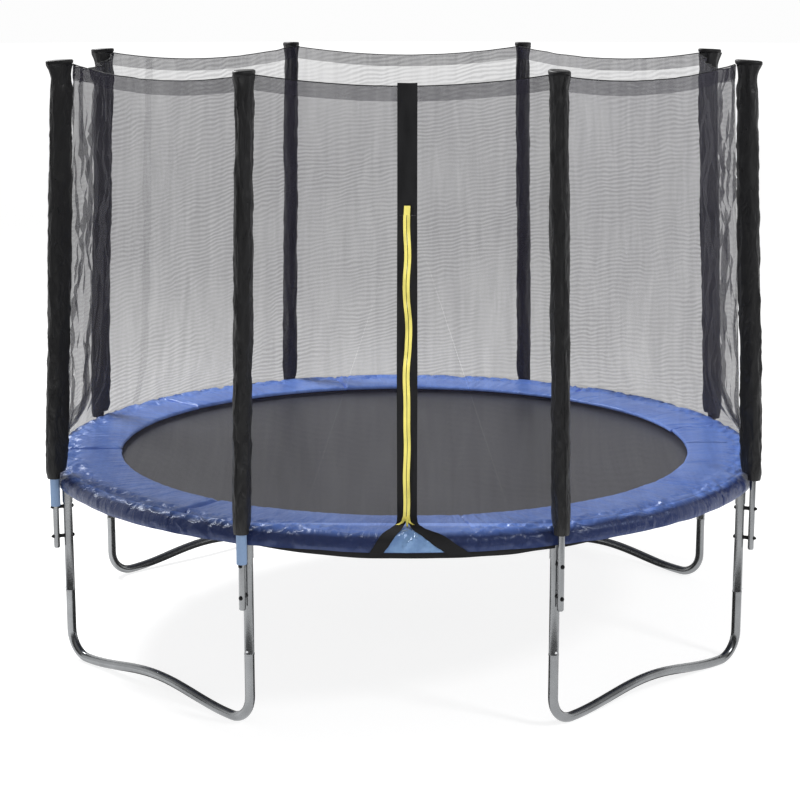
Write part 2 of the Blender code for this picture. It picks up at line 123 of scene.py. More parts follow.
CAMERA_LENS, CAMERA_SENSOR = 92.93, 36.0  # mm
CAMERA_DOWN, CAMERA_TURN = 0.2078, 0.0103  # radians below level, and to the left
LAMPS = (((-4.0, 3.2, 6.5), 2.4, 780.0), ((4.5, -4.0, 5.0), 1.2, 130.0))  # place, size, watts
LAMP_AIM = Vector((0, 0, 0.8))
PAD_SEAMS = (13.0, 53.0, 104.0, 143.0, 186.0, 234.5, 280.5, 326.5)  # degrees from +X


# ---- small helpers ----


def polar(radius, angle, z=0.0):
    turn = math.radians(angle)
    return Vector((radius * math.cos(turn), radius * math.sin(turn), z))


def mix(a, b, share):
    return a + (b - a) * share


def smooth_step(value, low, high):
    share = min(1.0, max(0.0, (value - low) / (high - low)))
    return share * share * (3 - 2 * share)


def pole_circle(z):
    lean = max(0.0, (z - POLE_BEND_Z) / (POLE_TOP_Z - POLE_BEND_Z))
    return mix(POLE_CIRCLE, POLE_TOP_CIRCLE, lean)


def ripple(x, y, seed=0.0):
    """Smooth noise from about -0.5 to 0.5."""
    return noise.noise(Vector((x, y, seed)))


def crease(x, y, seed=0.0):
    """Noise with sharp ridges: 1 along a crease, falling to about 0 beside it."""
    return 1.0 - min(1.0, abs(noise.noise(Vector((x, y, seed)))) * 3.2)


def spline(points, count):
    """Points along a smooth curve through the given ones."""
    ends = [2 * points[0] - points[1], *points, 2 * points[-1] - points[-2]]
    spans = len(points) - 1
    found = []
    for index in range(count + 1):
        place = min(index * spans / count, spans - 1e-9)
        a, b, c, d = ends[int(place):int(place) + 4]
        t = place - int(place)
        found.append(0.5 * (2 * b + (c - a) * t + (2 * a - 5 * b + 4 * c - d) * t * t
                            + (3 * b - a - 3 * c + d) * t ** 3))
    return found


def lattice(rows, columns, point):
    """Rows of what point gives for the shares, from 0 to 1, of the way along rows and columns."""
    return [[point(row / rows, column / columns) for column in range(columns + 1)]
            for row in range(rows + 1)]


def spokes_round(side, up, sides):
    """Unit vectors all round, from one at right angles to the next."""
    turns = [math.tau * index / sides for index in range(sides)]
    return [math.cos(turn) * side + math.sin(turn) * up for turn in turns]


class Shape:
    """Gathers rings, tubes and grids into one mesh, and makes a piece of it."""

    def __init__(self):
        self.verts, self.faces, self.uvs = [], [], []

    def grid(self, rows, wrap_rows=False, wrap_columns=False, uvs=None):
        """Joins equal rows of points with four-sided faces."""
        base, width = len(self.verts), len(rows[0])
        for index, row in enumerate(rows):
            self.verts += row
            self.uvs += uvs[index] if uvs else []
        for r in range(len(rows) - (0 if wrap_rows else 1)):
            low, high = base + r * width, base + (r + 1) % len(rows) * width
            for c in range(width - (0 if wrap_columns else 1)):
                after = (c + 1) % width
                self.faces.append((low + c, low + after, high + after, high + c))
        return self

    def closed(self, rings):
        """Skins rings and closes the first and the last one."""
        self.grid(rings, wrap_columns=True)
        for ring, turn in ((rings[0], -1), (rings[-1], 1)):
            base = len(self.verts)
            self.verts += ring
            self.faces.append(tuple(range(base, base + len(ring)))[::turn])
        return self

    def tube(self, points, radii, sides=24, wall=0.0):
        """A round tube along points, hollow if it has a wall, else closed at its ends."""
        if not hasattr(radii, "__len__"):
            radii = [radii] * len(points)
        rings, inner = [], []
        side = (points[1] - points[0]).normalized().orthogonal().normalized()
        for index, point in enumerate(points):
            before, after = points[max(index - 1, 0)], points[min(index + 1, len(points) - 1)]
            turned = (after - before).normalized()
            side = (side - turned * side.dot(turned)).normalized()
            spokes = spokes_round(side, turned.cross(side), sides)
            rings.append([point + spoke * radii[index] for spoke in spokes])
            inner.append([point + spoke * (radii[index] - wall) for spoke in spokes])
        if wall:
            return self.grid(rings + inner[::-1], wrap_rows=True, wrap_columns=True)
        return self.closed(rings)

    def turned(self, centre, axis, profile, sides=20):
        """A closed turned shape from (distance along the axis, radius) pairs."""
        axis = axis.normalized()
        side = axis.orthogonal().normalized()
        spokes = spokes_round(side, axis.cross(side), sides)
        return self.closed([[centre + axis * reach + radius * spoke for spoke in spokes]
                            for reach, radius in profile])

    def link(self, name, finish):
        """Makes the object, with the cloth's UVs if its grids gave them."""
        mesh = bpy.data.meshes.new(name)
        mesh.from_pydata([tuple(v) for v in self.verts], [], self.faces)
        mesh.materials.append(finish)
        mesh.shade_smooth()
        mesh.set_sharp_from_angle(angle=math.radians(50))
        if self.uvs:
            layer = mesh.uv_layers.new(name="cloth")
            corners = [0] * len(mesh.loops)
            mesh.loops.foreach_get("vertex_index", corners)
            layer.uv.foreach_set("vector", [part for index in corners for part in self.uvs[index]])
        mesh.validate()
        mesh.update()
        made = bpy.data.objects.new(name, mesh)
        bpy.context.scene.collection.objects.link(made)
        return made

    def part(self, name, finish, body, slot, *nodes):
        """Makes a piece on its body and hides the CAD nodes it stands for. Its material slot is not
        used.

        A piece given no body is left unattached here."""
        piece = self.link(name, finish)
        if body:
            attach(piece, body)
        if nodes:
            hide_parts(*nodes)
        return piece


# ---- materials ----


class Finish:
    """A Principled material with short calls for its nodes."""

    def __init__(self, name, colour, roughness, metallic=0.0, **sockets):
        self.material = bpy.data.materials.new(name)
        self.material.use_nodes = True
        self.nodes = self.material.node_tree.nodes
        self.shader = self.nodes["Principled BSDF"]
        self.shader.inputs["Base Color"].default_value = (*colour, 1)
        self.shader.inputs["Roughness"].default_value = roughness
        self.shader.inputs["Metallic"].default_value = metallic
        for socket, value in sockets.items():
            self.shader.inputs[socket.replace("_", " ")].default_value = value

    def node(self, kind, **values):
        made = self.nodes.new(f"ShaderNode{kind}")
        for name, value in values.items():
            if name in made.inputs:
                if isinstance(value, bpy.types.NodeSocket):
                    self.join(value, made.inputs[name])
                else:
                    made.inputs[name].default_value = value
            else:
                setattr(made, name, value)
        return made

    def join(self, start, end):
        self.material.node_tree.links.new(start, end)

    def place(self, scale, uv=False):
        """Coordinates in metres, from the cloth's own UVs or from the object."""
        if uv:
            start = self.node("UVMap", uv_map="cloth").outputs["UV"]
        else:
            start = self.node("TexCoord").outputs["Object"]
        spread = scale if hasattr(scale, "__len__") else (scale, scale, scale)
        return self.node("Mapping", Vector=start, Scale=spread).outputs["Vector"]

    def noise(self, spread, uv=False, detail=3.0, rough=0.5, distortion=0.0):
        made = self.node("TexNoise", Vector=self.place(spread, uv), Scale=1.0, Detail=detail)
        made.inputs["Roughness"].default_value = rough
        made.inputs["Distortion"].default_value = distortion
        return made.outputs["Fac"]

    def bands(self, where, scale, direction="Y", distortion=0.0, spread=1.0):
        made = self.node("TexWave", Vector=where, Scale=scale, Distortion=distortion,
                         Detail=2.0, bands_direction=direction)
        made.inputs["Detail Scale"].default_value = spread
        return made.outputs["Fac"]

    def remap(self, value, low, high, from_low=0.0, from_high=1.0):
        made = self.node("MapRange", Value=value)
        for socket, number in zip(("From Min", "From Max", "To Min", "To Max"),
                                  (from_low, from_high, low, high), strict=True):
            made.inputs[socket].default_value = number
        return made.outputs["Result"]

    def blend(self, share, first, second):
        made = self.node("MixRGB", Fac=share, Color1=(*first, 1), Color2=(*second, 1))
        return made.outputs["Color"]

    def add(self, first, second, operation="ADD"):
        made = self.node("Math", operation=operation)
        for socket, value in zip(made.inputs, (first, second), strict=False):
            if isinstance(value, bpy.types.NodeSocket):
                self.join(value, socket)
            else:
                socket.default_value = value
        return made.outputs["Value"]

    def colour(self, value):
        self.join(value, self.shader.inputs["Base Color"])

    def rough(self, value):
        self.join(value, self.shader.inputs["Roughness"])

    def bump(self, height, distance, strength=1.0):
        """Adds a bump over any bump that is there already."""
        made = self.node("Bump", Height=height, Distance=distance, Strength=strength)
        taken = self.shader.inputs["Normal"].links
        if taken:
            self.join(taken[0].from_socket, made.inputs["Normal"])
        self.join(made.outputs["Normal"], self.shader.inputs["Normal"])


def galvanised(name, colour, roughness):
    """Zinc coated tube: a faint spangle, cloudy patches and fine scratches."""
    made = Finish(name, colour, roughness, 1.0)
    clouds = made.noise(9.0, detail=4.0)
    spangle = made.node("TexVoronoi", Vector=made.place(160.0)).outputs["Distance"]
    darker = tuple(part * 0.72 for part in colour)
    made.colour(made.blend(made.remap(clouds, 0.0, 1.0, 0.3, 0.75), darker, colour))
    made.rough(made.remap(made.add(clouds, spangle), roughness - 0.07, roughness + 0.14, 0.3, 1.4))
    made.bump(made.noise((500.0, 500.0, 60.0), detail=2.0), 0.0002, 0.25)
    return made.material


def moulded(name, colour, roughness):
    """Moulded plastic with a fine grain."""
    made = Finish(name, colour, roughness, Specular_IOR_Level=0.25)
    grain = made.noise(900.0, detail=2.0)
    made.rough(made.remap(made.noise(25.0), roughness - 0.06, roughness + 0.1))
    lighter = tuple(part * 1.8 + 0.002 for part in colour)
    made.colour(made.blend(made.noise(12.0), colour, lighter))
    made.bump(grain, 0.0003, 0.35)
    return made.material


def vinyl(name, colour, deep, skirt, roughness):
    """Coated pad cloth: a faded top, painted shade over the skirt, painted light from the front to the
    rear, fine grain, small soft creases.
    """
    made = Finish(name, colour, roughness, Coat_Weight=0.30, Coat_Roughness=0.26,
                  Specular_Tint=(0.62, 0.74, 1.0, 1.0), Coat_Tint=(0.80, 0.88, 1.0, 1.0))
    where = made.place(1.0, uv=True)
    patches = made.noise((3.0, 5.0, 1.0), uv=True, detail=4.0, rough=0.6)
    faded = made.blend(made.remap(patches, 0.0, 1.0, 0.3, 0.7), deep, colour)
    across = made.node("SeparateXYZ", Vector=made.place(1.0, uv=True)).outputs["Y"]
    # Painted shade: across the outer slope the colour turns to the skirt's deep navy, for the shade on
    # the skirt and underneath.
    edge = made.remap(made.add(across, made.remap(patches, -0.02, 0.02)), 0.0, 1.0, *SKIRT_SHADE_SPAN)
    cloth = made.node("MixRGB", Fac=edge, Color1=faded, Color2=(*skirt, 1)).outputs["Color"]
    # Painted light: the cover's colour is lighter towards the rear and the right and darker at the
    # front, for how the light falls on it.
    spot = made.node("SeparateXYZ", Vector=made.place(1.0)).outputs
    painted_light = made.add(made.remap(spot["Y"], 0.84, 1.38, -1.4, 1.4),
                     made.remap(spot["X"], -0.05, 0.08, -1.4, 1.4))
    made.colour(made.node("MixRGB", blend_type="MULTIPLY", Fac=1.0, Color1=cloth,
                          Color2=painted_light).outputs["Color"])
    made.rough(made.remap(patches, roughness + 0.1, roughness - 0.06))
    folds = made.noise((26.0, 7.0, 1.0), uv=True, detail=5.0, rough=0.55, distortion=0.7)
    made.bump(folds, 0.010, 0.9)
    fine = made.noise((62.0, 24.0, 1.0), uv=True, detail=3.0, distortion=0.6)
    made.bump(fine, 0.0013, 0.7)
    made.bump(made.node("TexVoronoi", Vector=where, Scale=650.0).outputs["Distance"], 0.0002, 0.35)
    return made.material


def sleeve_cloth():
    """Black coated cloth over the foam tubes, with a soft shine on its small creases."""
    made = Finish("sleeve_cloth", (0.0150, 0.0150, 0.0158), 0.42, Specular_IOR_Level=0.30)
    weave = made.node("TexChecker", Vector=made.place(1.0, uv=True), Scale=700.0).outputs["Fac"]
    crumple = made.noise((38.0, 13.0, 1.0), uv=True, detail=5.0, distortion=0.9)
    made.rough(made.remap(crumple, 0.24, 0.50, 0.3, 0.7))
    made.bump(crumple, 0.010, 0.8)
    made.bump(weave, 0.0002, 0.25)
    return made.material


def woven_mat():
    """Tight woven plastic cloth, dark grey, with its weave and faint dusty areas."""
    made = Finish("woven_mat", (0.05, 0.051, 0.055), 0.5, Specular_IOR_Level=0.6)
    dust = made.noise(2.2, detail=5.0, rough=0.6)
    made.colour(made.blend(made.remap(dust, 0.0, 1.0, 0.3, 0.7), (0.052, 0.053, 0.058),
                           (0.076, 0.077, 0.084)))
    made.rough(made.remap(dust, 0.30, 0.40))
    warp = made.bands(made.place(1.0), 150.0, "X")
    weft = made.bands(made.place(1.0), 150.0, "Y")
    made.bump(made.add(warp, weft, "MULTIPLY"), 0.0005, 0.35)
    return made.material


def webbing(name, colour, spacing):
    """Woven tape with ribs across it."""
    made = Finish(name, colour, 0.72, Specular_IOR_Level=0.15)
    ribs = made.bands(made.place(1.0, uv=True), spacing, "Y")
    lighter = tuple(part * 1.6 for part in colour)
    made.colour(made.blend(made.noise(14.0, uv=True), colour, lighter))
    made.bump(ribs, 0.0006, 0.4)
    made.bump(made.noise((30.0, 11.0, 1.0), uv=True, detail=3.0), 0.003, 0.5)
    return made.material


def net_cloth(name, least, most, waves, thread=(0.024, 0.022, 0.036), streaks=0.15):
    """Knitted mesh. Its threads close up in wavy rows, so what shows through varies."""
    made = Finish(name, thread, 0.7, Specular_IOR_Level=0.2)
    where = made.place(1.0, uv=True)
    tilted = made.node("Mapping", Vector=where, Rotation=(0.0, 0.0, 0.15)).outputs["Vector"]
    rows = made.bands(tilted, 16.0, "Y", distortion=10.0, spread=0.33)
    knit_up = made.bands(where, 95.0, "X")
    knit_along = made.bands(where, 95.0, "Y")
    knit = made.add(knit_up, knit_along, "MAXIMUM")
    clouds = made.noise((2.0, 3.0, 1.0), uv=True, detail=3.0)
    # Long streaks of thinner and thicker cover: where the net gathers, and partly painted sheen on its
    # threads.
    gathers_and_sheen = made.noise((24.0, 2.4, 1.0), uv=True, detail=4.0, distortion=0.8)
    strength = made.remap(clouds, 0.15 * waves, waves, 0.35, 0.65)
    rows = made.add(made.add(rows, -0.5), strength, "MULTIPLY")
    total = made.add(made.add(rows, made.add(knit, 0.16, "MULTIPLY")),
                     made.add(made.add(clouds, 0.5, "MULTIPLY"), 0.18))
    total = made.add(total, made.remap(gathers_and_sheen, -streaks, streaks, 0.35, 0.65))
    made.join(made.remap(total, least, most, 0.2, 1.05), made.shader.inputs["Alpha"])
    made.bump(knit, 0.0008, 0.4)
    return made.material


def foam():
    """Closed foam tube, pale blue, with its fine pores."""
    made = Finish("pale_foam", (0.17, 0.26, 0.42), 0.7)
    pores = made.noise(260.0, detail=4.0)
    made.colour(made.blend(pores, (0.13, 0.21, 0.37), (0.24, 0.34, 0.50)))
    made.bump(pores, 0.0012, 0.5)
    return made.material


STEEL = galvanised("galvanised_tube", (0.34, 0.35, 0.36), 0.16)
SPRING_STEEL = galvanised("spring_steel", (0.55, 0.56, 0.58), 0.30)
BLACK_PLASTIC = moulded("black_moulding", (0.006, 0.006, 0.0065), 0.48)
WHITE_PLASTIC = moulded("white_button", (0.55, 0.56, 0.57), 0.4)
# Top colour, deeper patches, and the painted shade of the skirt.
PAD_VINYL = vinyl("blue_vinyl", (0.215, 0.365, 0.880), (0.120, 0.225, 0.640),
                  (0.020, 0.034, 0.118), 0.33)
# Painted light: the bare cover at the entrance is the pad's own vinyl, made paler blue as a painted
# highlight, with deep blue patches as painted shade.
APRON_PAINTED_LIGHT_VINYL = vinyl("pale_blue_vinyl_painted_light", (0.34, 0.54, 0.80), (0.04, 0.09, 0.28),
                    (0.03, 0.07, 0.20), 0.14)
SLEEVE = sleeve_cloth()
MAT_WEAVE = woven_mat()
BLACK_WEBBING = webbing("black_webbing", (0.012, 0.012, 0.013), 220.0)
YELLOW_TAPE = webbing("yellow_zip_tape", (0.72, 0.64, 0.16), 260.0)
NET = net_cloth("net_mesh", 0.37, 0.53, 0.16)
REAR_NET = net_cloth("net_mesh_rear", 0.29, 0.46, 1.25)
# Painted sheen: the side bays have lighter grey threads and stronger streaks, for light glancing off
# the net seen edge-on.
SIDE_NET_PAINTED_SHEEN = net_cloth("side_net_painted_sheen", 0.36, 0.56, 0.4, (0.05, 0.05, 0.055), 0.22)
LAID_NET = net_cloth("net_on_pad", 0.08, 0.20, 0.1)
HEM = net_cloth("net_hem", 0.42, 0.60, 0.2)
FOAM = foam()
ZIP_METAL = moulded("zip_slider_metal", (0.62, 0.55, 0.12), 0.35)


# ---- steel frame ----


def leg_points(first, second):
    """Up-and-down path of one leg, with its round bends and the low arch between them."""
    start, end = polar(RAIL_CIRCLE, first), polar(RAIL_CIRCLE, second)
    span, along = (end - start).length, (end - start).normalized()
    bends, arches = 12, 28
    half = [(0.0, POST_FOOT_Z - 0.0005), (0.0, 0.2)]
    for step in range(bends):
        turn = math.pi / 2 * step / bends
        half.append((LEG_BEND_RADIUS * (1 - math.cos(turn)),
                     TUBE_RADIUS + LEG_BEND_RADIUS * (1 - math.sin(turn))))
    base = []
    for step in range(arches + 1):
        share = step / arches
        rise = LEG_ARCH * math.sin(math.pi * share) ** 2
        base.append((mix(LEG_BEND_RADIUS, span - LEG_BEND_RADIUS, share), TUBE_RADIUS + rise))
    mirrored = [(span - across, z) for across, z in reversed(half)]
    return [start + along * across + Vector((0, 0, z)) for across, z in half + base + mirrored]


def make_legs():
    for name, first, second in LEGS:
        shape = Shape().tube(leg_points(first, second), TUBE_RADIUS, 28, TUBE_WALL)
        shape.part(f"leg_tube_{name}", STEEL, "frame", "galvanised_steel", f"leg_{name}")


def make_posts():
    """Leg posts with a rolled foot over the leg, and the lock button just above the joint."""
    levels = [(POST_FOOT_Z, 0.0196), (POST_FOOT_Z + 0.002, 0.0202), (POST_FOOT_Z + 0.006, 0.0202),
              (POST_FOOT_Z + 0.009, TUBE_RADIUS), (0.5, TUBE_RADIUS), (POST_TOP_Z, TUBE_RADIUS)]
    button = [(0.017, 0.0045), (0.0205, 0.0045), (0.0222, 0.0036), (0.0228, 0.0015)]
    for name, angle in STATIONS:
        shape = Shape().tube([polar(RAIL_CIRCLE, angle, z) for z, _radius in levels],
                             [radius for _z, radius in levels], 28, TUBE_WALL)
        shape.part(f"post_tube_{name}", STEEL, "frame", "galvanised_steel", f"leg_post_{name}")
        shape = Shape().turned(polar(RAIL_CIRCLE, angle, BUTTON_Z), polar(1.0, angle), button, 16)
        shape.part(f"lock_button_{name}", WHITE_PLASTIC, "frame", "black_plastic")


def make_rails():
    """Curved rails with a swaged joint at one end, and the welded socket of each post."""
    steps = 36
    roof, hole = FRAME_HEIGHT - SOCKET_Z - 0.004, POST_TOP_Z - SOCKET_Z + 0.002
    socket = [(hole, 0.003), (hole, 0.0203), (0.0, 0.0203), (0.0, SOCKET_RADIUS),
              (roof, SOCKET_RADIUS), (roof, 0.012)]
    for name, angle in STATIONS:
        turns = [mix(-HALF_BAY + 0.05, HALF_BAY - 0.05, step / steps) for step in range(steps + 1)]
        radii = [TUBE_RADIUS + 0.0012 * smooth_step(turn, HALF_BAY - 1.6, HALF_BAY - 1.2)
                 for turn in turns]
        shape = Shape().tube([polar(RAIL_CIRCLE, angle + turn, FRAME_HEIGHT) for turn in turns],
                             radii, 24, TUBE_WALL)
        shape.turned(polar(RAIL_CIRCLE, angle, SOCKET_Z), Vector((0, 0, 1)), socket, 28)
        bead = []
        for step in range(49):
            turn = math.tau * step / 48
            reach = SOCKET_RADIUS + 0.0006 + 0.0006 * math.sin(turn * 23)
            drop = math.sqrt(max(0.0, TUBE_RADIUS ** 2 - (reach * math.cos(turn)) ** 2 * 0.72))
            bead.append(polar(RAIL_CIRCLE, angle, FRAME_HEIGHT - drop - 0.001)
                        + polar(reach, angle + math.degrees(turn)))
        shape.tube(bead, 0.0022, 8)
        shape.part(f"rail_tube_{name}", STEEL, "frame", "galvanised_steel", f"top_rail_{name}")


def make_poles():
    """Poles with a crimped foot."""
    levels = [(POLE_FOOT_Z, 0.0098), (POLE_FOOT_Z + 0.003, 0.0122),
              (POLE_FOOT_Z + 0.010, POLE_RADIUS), (POLE_BEND_Z - 0.01, POLE_RADIUS),
              (POLE_BEND_Z + 0.01, POLE_RADIUS), (1.6, POLE_RADIUS), (POLE_TOP_Z, POLE_RADIUS)]
    for name, angle in STATIONS:
        shape = Shape().tube([polar(pole_circle(z), angle, z) for z, _radius in levels],
                             [radius for _z, radius in levels], 24, POLE_WALL)
        shape.part(f"pole_tube_{name}", STEEL, "frame", "galvanised_steel", f"pole_{name}")


def make_bolts():
    """Through bolts with round head, plastic spacer, washer and nut."""
    start, end = TUBE_RADIUS, POLE_CIRCLE - RAIL_CIRCLE - POLE_RADIUS
    nut = POLE_CIRCLE - RAIL_CIRCLE + POLE_RADIUS
    profiles = [
        ([(-0.0255, 0.002), (-0.0245, 0.0055), (-0.0215, 0.0075), (-0.0192, 0.0078)], 20),
        ([(start, 0.0088), (start + 0.003, 0.0078), (end - 0.003, 0.0078), (end, 0.0088)], 20),
        ([(nut, 0.0085), (nut + 0.0012, 0.0085)], 20),
        ([(nut + 0.0012, 0.0066), (nut + 0.0062, 0.0066)], 6),
        ([(nut + 0.0062, 0.0034), (nut + 0.0092, 0.0032)], 12),
    ]
    for name, angle in STATIONS:
        for level, height in zip(("lower", "upper"), BOLT_HEIGHTS, strict=True):
            shape = Shape()
            for profile, sides in profiles:
                shape.turned(polar(RAIL_CIRCLE, angle, height), polar(1.0, angle), profile, sides)
            nodes = [f"pole_bolt_{name}"] if level == "lower" else []
            shape.part(f"bolt_{level}_{name}", BLACK_PLASTIC, "frame", "black_plastic", *nodes)


# ---- mat and springs ----


def make_mat():
    """The mat in sixteen flat wedges."""
    wedges = 16
    step = 360 / wedges
    for index in range(wedges):
        rows = lattice(26, 4, lambda ring, part, index=index: polar(
            max(0.0004, MAT_RADIUS * ring), (index + part) * step, FRAME_HEIGHT + 0.0015))
        wedge = Shape().grid(rows, uvs=[[(p.x, p.y) for p in row] for row in rows]).part(
            f"mat_wedge_{index:02d}", MAT_WEAVE, None, "mat_fabric", "jump_mat")
        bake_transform(wedge)


def make_edge_band():
    """The folded webbing round the mat, and the wire rings of the springs."""
    low, high, top = MAT_RADIUS - 0.030, MAT_BAND, FRAME_HEIGHT + 0.0035
    outline = [(low, FRAME_HEIGHT + 0.0022), (low + 0.004, top), (high - 0.003, top + 0.0006),
               (high, FRAME_HEIGHT), (high - 0.003, FRAME_HEIGHT - 0.0041),
               (low + 0.004, FRAME_HEIGHT - 0.0035), (low, FRAME_HEIGHT - 0.0012)]
    shares = [column / 384 for column in range(384)]
    band = Shape().grid([[polar(reach, 360 * share, z) for reach, z in outline] for share in shares],
                        True, True, [[(share * math.tau * MAT_RADIUS, reach) for reach, _z in outline]
                                     for share in shares])
    band.part("edge_webbing", BLACK_WEBBING, "mat_rim", "webbing", "mat_edge_band")
    rings = Shape()
    for index in range(SPRING_COUNT):
        angle = 360 * (index + 0.5) / SPRING_COUNT
        out, side = polar(1.0, angle), polar(1.0, angle + 90)
        tip, base = polar(1.356, angle, FRAME_HEIGHT), polar(1.332, angle, FRAME_HEIGHT + 0.0052)
        rings.tube([base + side * 0.013, base + side * 0.0125 + out * 0.003, tip + side * 0.003,
                    tip - side * 0.003, base - side * 0.0125 + out * 0.003, base - side * 0.013,
                    base], 0.0019, 6)
    rings.part("spring_rings", SPRING_STEEL, "mat_rim", "spring_wire")


def make_springs():
    """Coil springs in pairs, each pair stretching between the rail and the mat's rim."""
    turns, per_turn = 19, 8
    inner_hook = ((1.352, 0.0042), (1.348, 0.001), (1.352, -0.003), (1.360, -0.002))
    outer_hook = ((1.472, 0.0), (1.480, 0.002), (SPRING_TIP, 0.001))
    for pair in range(SPRING_COUNT // 2):
        shape = Shape()
        for index in (2 * pair, 2 * pair + 1):
            angle = 360 * (index + 0.5) / SPRING_COUNT
            side, up = polar(1.0, angle + 90), Vector((0, 0, 1))
            path = [polar(reach, angle, FRAME_HEIGHT + rise) for reach, rise in inner_hook]
            for step in range(turns * per_turn + 1):
                turn = math.tau * step / per_turn
                share = step / (turns * per_turn)
                taper = COIL_RADIUS * min(1.0, 0.35 + 6 * share, 0.35 + 6 * (1 - share))
                path.append(polar(mix(SPRING_START, SPRING_END, share), angle, FRAME_HEIGHT)
                            + taper * (math.cos(turn) * side + math.sin(turn) * up))
            path += [polar(reach, angle, FRAME_HEIGHT + rise) for reach, rise in outer_hook]
            shape.tube(path, WIRE_RADIUS, 5)
        spring = shape.part(f"springs_{pair:02d}", SPRING_STEEL, None, "spring_wire", "spring_set")
        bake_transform(spring)


# ---- pad ----


def pad_slope(share):
    """The cover's rounded outer side as (radius, z), from the flat top at 0 to its foot at 1."""
    turn = math.pi / 2 * share
    return (mix(SLOPE_START, PAD_OUTER, math.sin(turn) ** SLOPE_POWER),
            PAD_TOP_Z - 0.002 - SLOPE_DROP * (1 - math.cos(turn) ** SLOPE_POWER))


def pad_outline():
    """The ring's section as (radius, z): over the top, down the skirt and back underneath."""
    points = [(PAD_INNER + 0.018, 0.7792), (PAD_INNER + 0.005, 0.7790), (PAD_INNER, 0.7835),
              (PAD_INNER + 0.0005, 0.789), (PAD_INNER + 0.005, 0.7945)]
    crown, level = 0.0035, pad_slope(0.0)[1]
    for step in range(1, 23):
        share = step / 22
        reach = mix(PAD_INNER + 0.005, SLOPE_START, share)
        lift = 1 - (1 - min(1.0, share * 4)) ** 2
        points.append((reach, mix(0.7945, level, lift) + crown * math.sin(math.pi * share)))
    points += [pad_slope(step / SLOPE_STEPS) for step in range(1, SLOPE_STEPS + 1)]
    points.append((PAD_OUTER, SKIRT_Z - 0.004))
    inside = PAD_OUTER - 0.003
    points += [(inside, SKIRT_Z - 0.004), (inside, 0.762), (1.5245, 0.7735), (1.517, 0.7805),
               (1.505, 0.7845), (1.48, 0.7845), (1.45, 0.7825), (1.35, 0.7812)]
    return points


def pad_angles():
    """Angles of the cover's columns, closer together at each seam between two sections."""
    found = {round(360 * column / PAD_COLUMNS, 4) for column in range(PAD_COLUMNS)}
    for seam in PAD_SEAMS:
        for offset in (0.0, 0.002, 0.004, 0.007, 0.010, 0.014):
            found |= {round(seam + math.degrees(side * offset / PAD_MIDDLE), 4) for side in (-1, 1)}
    return sorted(angle % 360 for angle in found)


def pad_lift(along, across, outer, near_seam):
    """Height of the cover's puckers: long radial creases, crumpled on the outer slope."""
    flow = along + 0.05 * ripple(along * 4, across * 6, 40.0)
    lift = 0.0030 * ripple(along * 6, across * 4, 1.0)
    strength = 0.60 + 1.2 * near_seam + 0.7 * outer
    lift += 0.0042 * strength * (crease(flow * 13, across * 3.0, 4.0) - 0.30)
    lift += 0.0026 * strength * (crease(flow * 27 + 5, across * 5.0, 14.0) - 0.30)
    slanted, crossing = (along + across) * 13, along * 11 - across * 22
    lift += 0.0120 * outer * (crease(slanted, (along - across) * 3.5, 12.0) - 0.35)
    lift += 0.0085 * outer * (crease(crossing, along * 5 + across * 3, 19.0) - 0.35)
    lift += 0.0045 * outer * (crease(along * 30 + across * 8, across * 6, 23.0) - 0.35)
    lift += 0.0090 * outer * ripple(along * 7 + across * 9, across * 8, 9.0)
    return lift


def seam_distance(angle):
    """Metres along the ring to the nearest seam, below zero before it and above zero after it."""
    turns = [(angle - seam + 180) % 360 - 180 for seam in PAD_SEAMS]
    return math.radians(min(turns, key=abs)) * PAD_MIDDLE


def section_normal(outline, place):
    """The section's outward direction as (radius, z) at one of its points."""
    (r0, z0), (r1, z1) = outline[place - 1], outline[place + 1]
    return Vector((z0 - z1, r1 - r0)).normalized()


